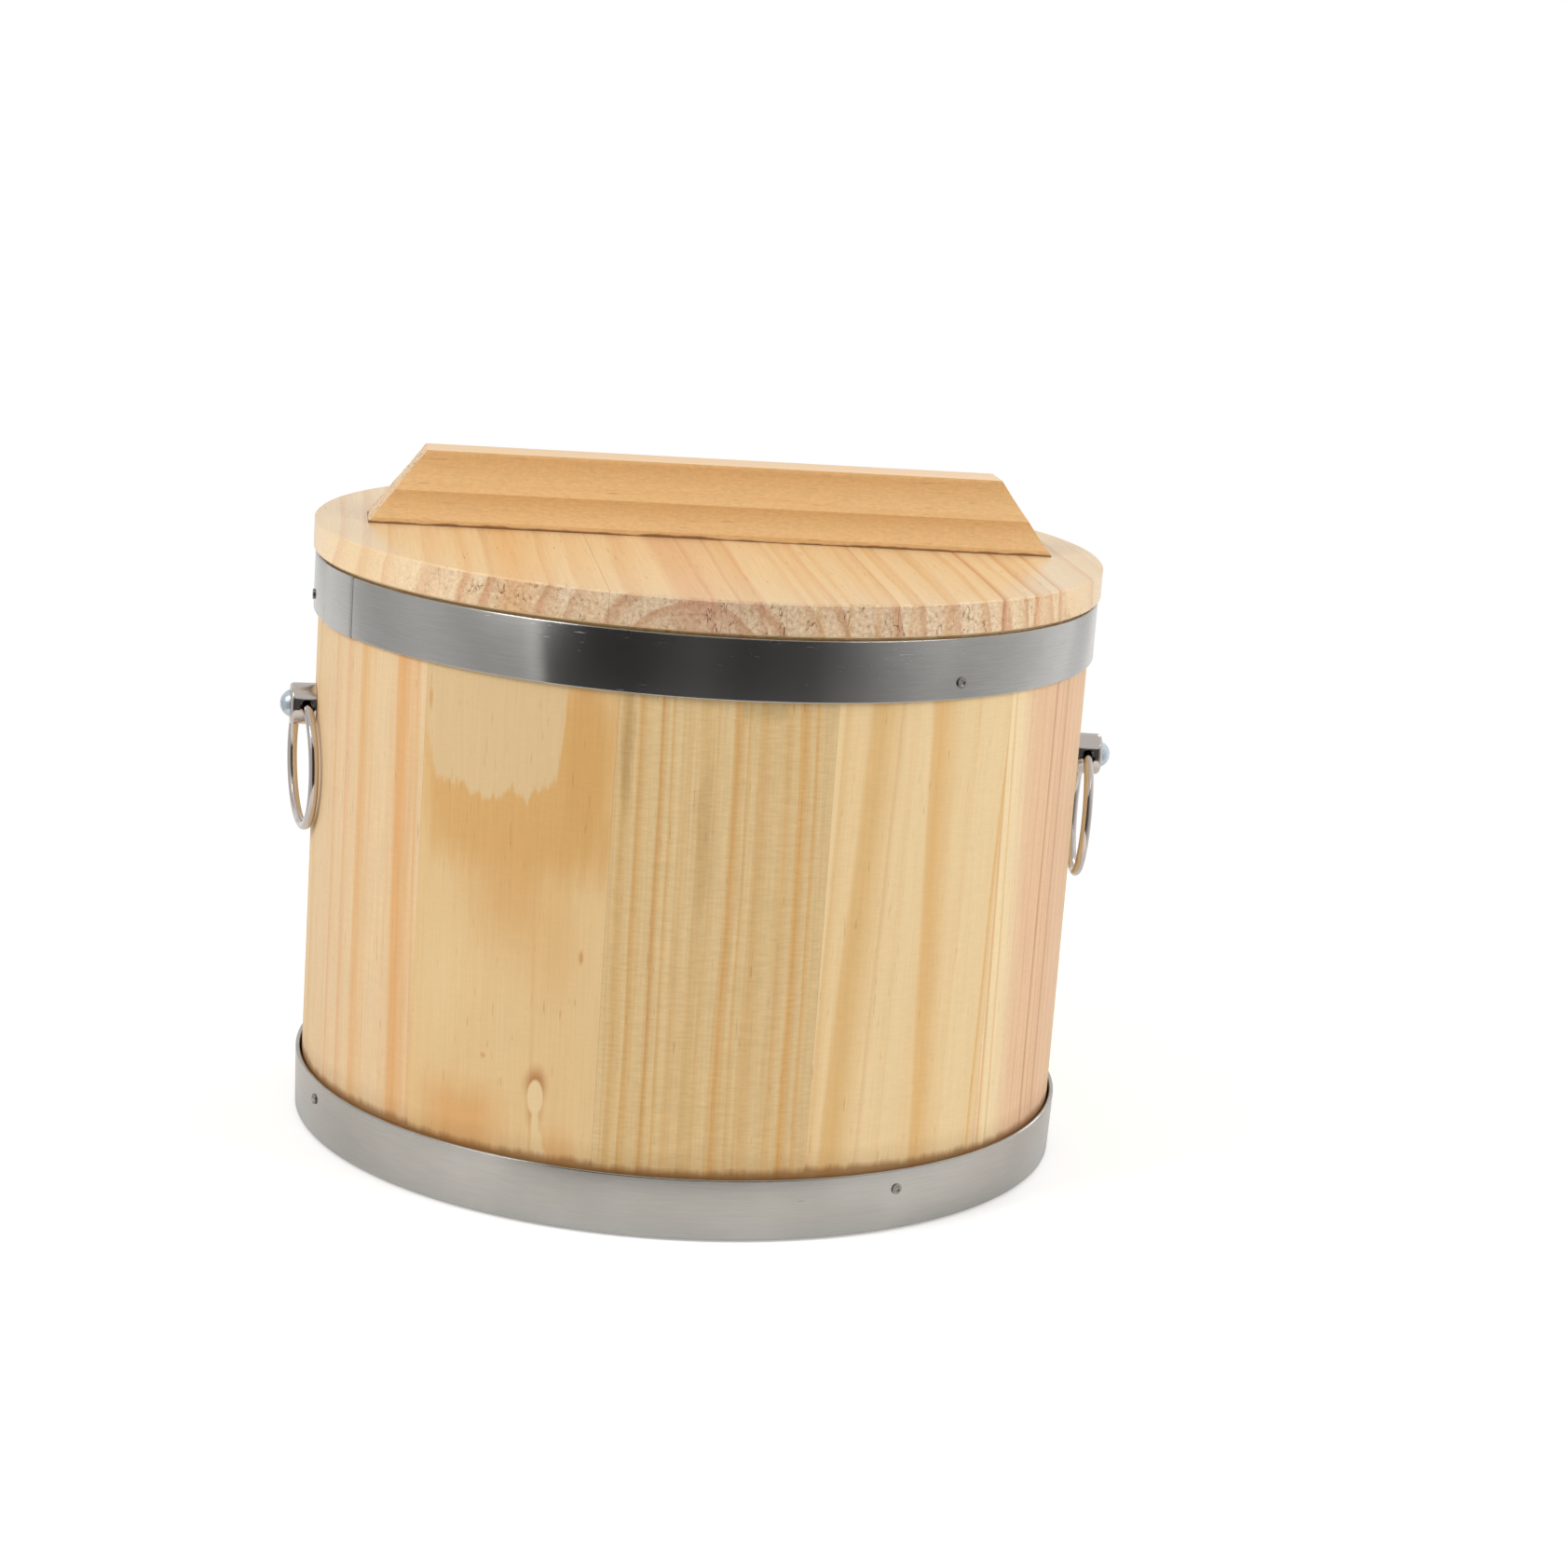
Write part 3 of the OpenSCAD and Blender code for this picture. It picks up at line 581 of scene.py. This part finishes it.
# the lid's three boards are sawn side by side from one plank, so their rings run on
lidLook = {
    "pith": (-8, -117), "seed": 42.0, "year": 6.0, "line": 0.55, "late": "#D99F66",
    "streaks": [
        (-57, -57, 5, 0.6, "#E9C08A"), (-44, -44, 15, 1.0, "#E8BA80"), (-30, -30, 8, 0.6, "#EBC492"),
        (-9, -9, 17, 0.8, "#E3B285"), (-9.5, -10.5, 1.6, 0.5, "#D99C74"), (-4, -5, 1.3, 0.5, "#D99C74"),
        (0.6, 0, 1.8, 0.55, "#D9A076"), (13, 13, 2.4, 0.5, "#DFAC6C"), (19.4, 19.4, 2, 0.45, "#DFAC6C"),
        (26, 26, 2.6, 0.5, "#DFAC6C"), (33, 33, 2, 0.5, "#DFAC6C"), (41, 41, 2.6, 0.5, "#DFAC6C"),
        (49, 49, 2, 0.45, "#DFAC6C"), (53.7, 53.7, 1.4, 0.9, "#C98A55"), (63, 63, 3, 0.8, "#D69C62"),
        (69.3, 69.3, 1.4, 0.7, "#D09258")],
}
boards = {
    "lid_board_left": lidLook, "lid_board_middle": lidLook, "lid_board_right": lidLook,
    "lid_plug": {"pith": (-30, -90), "seed": 44.0},
    "bottom_board_left": {"pith": (-50, -60), "seed": 45.0},
    "bottom_board_right": {"pith": (70, 40), "seed": 46.0},
}
for name, look in boards.items():
    dress(nodes[name], pineMaterial("planed_pine_" + name, {**boardLook, **look}))

handleLook = {
    **boardLook, "tip": (0, -90, 0), "pith": (-100, 20), "seed": 50.0, "year": 3.0, "line": 0.22,
    "early": "#DFB781", "warm": "#DAAD74", "late": "#D29C62", "fibre": 0.10, "strand": 0.3,
    # the paler top colour is painted light on the handle's up-facing faces
    "rough": 0.5, "gloss": 0.35, "crown": "#EFCFA9", "foot": 134.45,  # mm up the tub
}
handlePine = pineMaterial("sanded_pine_handle", handleLook)
bambooLook = {**staveLook, "year": 0.6, "early": "#D9C48A", "late": "#BFA060", "grime": []}
bamboo = pineMaterial("split_bamboo_pins", bambooLook)  # fine close lines, yellower than pine
dress(nodes["stave_pins"], bamboo)
dress(nodes["bottom_dowels"], bamboo)
print("wood done")


# Brushed stainless band: fine lines along it spread each light up and down, and rubbed places look paler.
def brushedSteel(name, look):
    material, tree = newMaterial(name)
    place = addNode(tree, "TexCoord")
    along = addNode(tree, "VectorMath", {0: place.outputs["Object"], 1: (0.03, 0.03, 1)},
                    operation="MULTIPLY")
    lines = addNode(tree, "TexNoise", {"Vector": along, "Scale": 1 / (look["lines"] * mm), "Detail": 3.0,
                                       "Roughness": 0.7})
    blotch = addNode(tree, "TexNoise", {"Vector": place.outputs["Object"], "Scale": 1 / (look["blotch"] * mm),
                                        "Detail": 4.0})
    mixed = addNode(tree, "Math", {0: lines.outputs[0], 1: blotch.outputs[0]}, operation="ADD")
    tone = addNode(tree, "MapRange", {"Value": mixed, "From Min": 0.7, "From Max": 1.3,
                                      "To Min": 0.88, "To Max": 1.06})
    colour = addNode(tree, "VectorMath", {0: linear(look["steel"])[:3], "Scale": tone}, operation="SCALE")
    # scratches: short pale strokes, mostly along the band
    strokeAt = addNode(tree, "VectorMath", {0: place.outputs["Object"], 1: (0.08, 0.08, 1)},
                       operation="MULTIPLY")
    stroke = addNode(tree, "TexNoise", {"Vector": strokeAt, "Scale": 1 / (look["stroke"] * mm), "Detail": 2.0,
                                        "Distortion": 0.5})
    where = addNode(tree, "TexNoise", {"Vector": place.outputs["Object"], "Scale": 1 / (look["rubbed"] * mm),
                                       "Detail": 2.0})
    rubbed = addNode(tree, "Math", {0: where.outputs[0], 1: 0.30, 2: stroke.outputs[0]},
                     operation="MULTIPLY_ADD")
    # more of them under the lid's edge, where it comes down
    parts = addNode(tree, "SeparateXYZ", {"Vector": place.outputs["Object"]})
    knockLow, knockHigh = look["knocked"]
    knocked = addNode(tree, "MapRange", {"Value": parts.outputs["Z"], "From Min": knockLow * mm,
                                         "From Max": knockHigh * mm, "To Max": 0.07})
    rubbed = addNode(tree, "Math", {0: rubbed, 1: knocked}, operation="ADD")
    scratch = addNode(tree, "MapRange", {"Value": rubbed, "From Min": 0.89, "From Max": 0.97})
    rough = addNode(tree, "MapRange", {"Value": scratch, "To Min": look["rough"],
                                       "To Max": look["rough"] * 2.1})
    height = addNode(tree, "Math", {0: scratch, 1: 0.5, 2: lines.outputs[0]}, operation="MULTIPLY_ADD")
    bump = addNode(tree, "Bump", {"Strength": 0.2, "Distance": 0.015 * mm, "Height": height})
    dent = addNode(tree, "Bump", {"Strength": 0.5, "Distance": 0.12 * mm, "Height": blotch.outputs[0],
                                  "Normal": bump})
    turned = addNode(tree, "Tangent", direction_type="RADIAL", axis="Z")
    surface = addNode(tree, "BsdfPrincipled", {
        "Base Color": colour, "Metallic": 1.0, "Roughness": rough, "Anisotropic": look["spread"],
        "Anisotropic Rotation": 0.25, "Normal": dent, "Tangent": turned})
    addNode(tree, "OutputMaterial", {"Surface": surface})
    return material


steelLook = {
    "steel": "#C4C2BE", "rough": 0.21, "spread": 0.88,
    "lines": 0.25, "blotch": 22, "stroke": 0.3, "rubbed": 9,  # mm; lines and scratches drawn broader, to show
    "knocked": (120, 127),  # mm up the tub
}
steel = brushedSteel("brushed_stainless_band", steelLook)


# Band from a circle, drawn up and widened to its top edge, given its thickness and its rolled edges.
def makeBand(name, v):
    bpy.ops.object.select_all(action="DESELECT")
    bpy.ops.mesh.primitive_circle_add(vertices=360, radius=v["lowRadius"] * mm,
                                      location=(0, 0, v["low"] * mm))
    band = bpy.context.object
    band.name = name
    editAll(band)
    bpy.ops.mesh.extrude_region_move(TRANSFORM_OT_translate={"value": (0, 0, v["high"] * mm)})
    wider = v["topRadius"] / v["lowRadius"]
    bpy.ops.transform.resize(value=(wider, wider, 1), center_override=(0, 0, 0))
    bpy.ops.object.mode_set(mode="OBJECT")
    if "arc" in v:
        start, end = v["arc"]
        pickFaces(band, lambda face: not start < azimuthOf(face) < end)
        bpy.ops.mesh.delete(type="FACE")
        bpy.ops.object.mode_set(mode="OBJECT")
    face = band.data.polygons[0]
    if face.normal.x * face.center.x + face.normal.y * face.center.y < 0:
        editAll(band)
        bpy.ops.mesh.flip_normals()
        bpy.ops.object.mode_set(mode="OBJECT")
    finishPiece(band, [("SOLIDIFY", {"thickness": v["steel"] * mm, "offset": 1.0}),
                       eased(v["rolled"], 3, 40)])
    return band


# mm; the lap is the band's outer end, which lies over the rest of it
hoops = {
    "upper_hoop": {"low": 114.0, "high": 13.0, "lowRadius": 85.958, "topRadius": 85.999,
                   "steel": 1.0, "rolled": 0.45,
                   "lap": {"out": 0.5, "steel": 0.58, "rolled": 0.1, "arc": (-76, -64)}},
    "lower_hoop": {"low": 0.4, "high": 13.1, "lowRadius": 85.601, "topRadius": 85.992,
                   "steel": 1.0, "rolled": 0.28},
}
for name, v in hoops.items():
    band = makeBand(name + "_band", v)
    if "lap" in v:
        lapped = {**v, **v["lap"]}
        for radius in ("lowRadius", "topRadius"):
            lapped[radius] += v["lap"]["out"]
        lap = makeBand(name + "_lap", lapped)
        joinPieces(band, lap)
    dress(band, steel)
    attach(band, "tub")
    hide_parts(name)
print("hoops done")


# Plated fittings: a hard even mirror with faint clouding.
def platedMetal(name, look):
    material, tree = newMaterial(name)
    place = addNode(tree, "TexCoord")
    cloud = addNode(tree, "TexNoise", {"Vector": place.outputs["Object"], "Scale": 1 / (1.8 * mm),
                                       "Detail": 3.0})
    rough = addNode(tree, "MapRange", {**noiseSpan, "Value": cloud.outputs[0], "To Min": look["rough"] * 0.7,
                                       "To Max": look["rough"] * 1.4})
    bump = addNode(tree, "Bump", {"Strength": 0.2, "Distance": 0.03 * mm, "Height": cloud.outputs[0]})
    surface = addNode(tree, "BsdfPrincipled", {"Base Color": linear(look["metal"]), "Metallic": 1.0,
                                               "Roughness": rough, "Normal": bump})
    addNode(tree, "OutputMaterial", {"Surface": surface})
    return material


nickel = platedMetal("polished_nickel_plate", {"metal": "#D8CFC9", "rough": 0.11})
zinc = platedMetal("bright_zinc_plate", {"metal": "#D3DEE6", "rough": 0.26})
dullSteel = platedMetal("dull_steel_nail", {"metal": "#A5A29D", "rough": 0.42})
for name in ("left_lug", "right_lug", "left_ring", "right_ring"):
    dress(nodes[name], nickel)
dress(nodes["handle_screws"], dullSteel)


def outwards(turn, radius, z):  # a piece along +Z from the origin, stood outwards at that place on the tub
    a = math.radians(turn)
    out = Vector((math.sin(a), -math.cos(a), 0))
    place = Matrix.Translation(out * radius * mm + Vector((0, 0, z * mm)))
    return place @ out.to_track_quat("Z", "X").to_matrix().to_4x4()


def copyAt(piece, name, place):
    twin = piece.copy()
    twin.data = piece.data.copy()
    twin.name = name
    twin.data.transform(place)
    bpy.context.scene.collection.objects.link(twin)
    return twin


nail = {  # mm and degrees
    "head": 2.3, "high": 0.34, "eased": 0.07, "shank": 1.4, "long": 6.6, "count": 3,
    "dimple": 0.45, "slope": 0.25, "pit": 0.3,  # in from the head's edge, then sloping, then down
    "upper_hoop_nails": {"turn": -85.7, "step": 117.8, "z": 117.6, "seat": 87.02},
    "lower_hoop_nails": {"turn": -70.3, "step": 98.3, "z": 9.3, "seat": 86.90},
}


# Nail along +Z with its seat at the origin, its head sunk in the middle by the punch.
def makeNail(v):
    bpy.ops.object.select_all(action="DESELECT")
    bpy.ops.mesh.primitive_cylinder_add(vertices=32, radius=v["head"] / 2 * mm, depth=v["high"] * mm,
                                        location=(0, 0, v["high"] / 2 * mm))
    piece = bpy.context.object
    pickFaces(piece, facesUp)
    bpy.ops.mesh.inset(thickness=v["dimple"] * mm)
    bpy.ops.mesh.inset(thickness=v["slope"] * mm, depth=-v["pit"] * mm)
    bpy.ops.object.mode_set(mode="OBJECT")
    pickFaces(piece, facesDown)
    bpy.ops.mesh.inset(thickness=(v["head"] - v["shank"]) / 2 * mm)
    bpy.ops.mesh.extrude_region_move(TRANSFORM_OT_translate={"value": (0, 0, -v["long"] * mm)})
    bpy.ops.object.mode_set(mode="OBJECT")
    finishPiece(piece, [eased(v["eased"], 2, 40)])
    return piece


pattern = makeNail(nail)
for name in ("upper_hoop_nails", "lower_hoop_nails"):
    v = nail[name]
    turns = [v["turn"] + v["step"] * k for k in range(nail["count"])]
    row = [copyAt(pattern, name + "_row", outwards(turn, v["seat"], v["z"])) for turn in turns]
    joinPieces(*row)
    dress(row[0], dullSteel)
    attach(row[0], "tub")
    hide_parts(name)
bpy.data.objects.remove(pattern)

screw = {  # mm and degrees
    "wide": 5.9, "high": 2.1, "eased": 0.09, "shank": 2.6, "long": 13.2,
    "slot": 0.75, "slotLong": 3.3, "slotDeep": 1.25,
    "slotFoot": 0.45,  # share of the slot's mouth
    "seat": 5.7,  # out from the wall
    "left_lug_screw": {"turn": -85.5, "z": 93.1, "wall": 85.792, "spin": 25},
    "right_lug_screw": {"turn": 85.5, "z": 90.1, "wall": 85.783, "spin": 10},
}


# Pan head from a ball cut at its seat, with a cross recess.
def makeScrew(v):
    ball = (v["wide"] ** 2 / 4 + v["high"] ** 2) / (2 * v["high"])
    top = v["high"] * mm
    bpy.ops.object.select_all(action="DESELECT")
    bpy.ops.mesh.primitive_uv_sphere_add(segments=64, ring_count=48, radius=ball * mm,
                                         location=(0, 0, (v["high"] - ball) * mm))
    head = bpy.context.object
    editAll(head)
    bpy.ops.mesh.bisect(plane_co=(0, 0, 0), plane_no=(0, 0, 1), use_fill=True, clear_inner=True)
    bpy.ops.object.mode_set(mode="OBJECT")
    for wide, long in ((v["slot"], v["slotLong"]), (v["slotLong"], v["slot"])):
        bpy.ops.object.select_all(action="DESELECT")
        bpy.ops.mesh.primitive_cube_add(size=1, location=(0, 0, top))
        blade = bpy.context.object
        editAll(blade)
        size = (wide * mm, long * mm, 2 * v["slotDeep"] * mm)
        bpy.ops.transform.resize(value=size, center_override=(0, 0, top))
        bpy.ops.object.mode_set(mode="OBJECT")
        pickFaces(blade, facesDown)
        bpy.ops.transform.resize(value=(v["slotFoot"], v["slotFoot"], 1), center_override=(0, 0, top))
        bpy.ops.object.mode_set(mode="OBJECT")
        finishPiece(head, [("BOOLEAN", {"operation": "DIFFERENCE", "object": blade, "solver": "EXACT"})])
        bpy.data.objects.remove(blade)

    bpy.ops.object.select_all(action="DESELECT")
    sunk = 0.1  # the shank's end lies this deep in the head
    bpy.ops.mesh.primitive_cylinder_add(vertices=32, radius=v["shank"] / 2 * mm, depth=v["long"] * mm,
                                        location=(0, 0, (sunk - v["long"] / 2) * mm))
    shank = bpy.context.object
    pickFaces(shank, facesDown)
    bpy.ops.mesh.extrude_region_move(TRANSFORM_OT_translate={"value": (0, 0, -0.02 * mm)})
    bpy.ops.transform.resize(value=(0.5, 0.5, 1), center_override=(0, 0, 0))
    bpy.ops.object.mode_set(mode="OBJECT")
    finishPiece(shank, [])
    joinPieces(head, shank)
    finishPiece(head, [eased(v["eased"], 2, 38)])
    return head


pattern = makeScrew(screw)
for name in ("left_lug_screw", "right_lug_screw"):
    v = screw[name]
    spin = Matrix.Rotation(math.radians(v["spin"]), 4, "Z")
    piece = copyAt(pattern, name + "_cross", outwards(v["turn"], v["wall"] + screw["seat"], v["z"]) @ spin)
    dress(piece, zinc)
    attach(piece, "tub")
    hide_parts(name)
bpy.data.objects.remove(pattern)
print("nails and screws done")

# The handle's edges are rounded off, on a copy of its own shape.
handle = {"rounded": 0.45, "segments": 3, "corner": 24}  # mm, and degrees
grip = copyAt(nodes["lid_handle"], "lid_handle_rounded", Matrix())
editAll(grip)
bpy.ops.mesh.remove_doubles(threshold=0.00001)
bpy.ops.object.mode_set(mode="OBJECT")
finishPiece(grip, [eased(handle["rounded"], handle["segments"], handle["corner"])])
dress(grip, handlePine)
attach(grip, "lid")
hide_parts("lid_handle")
print("handle done")
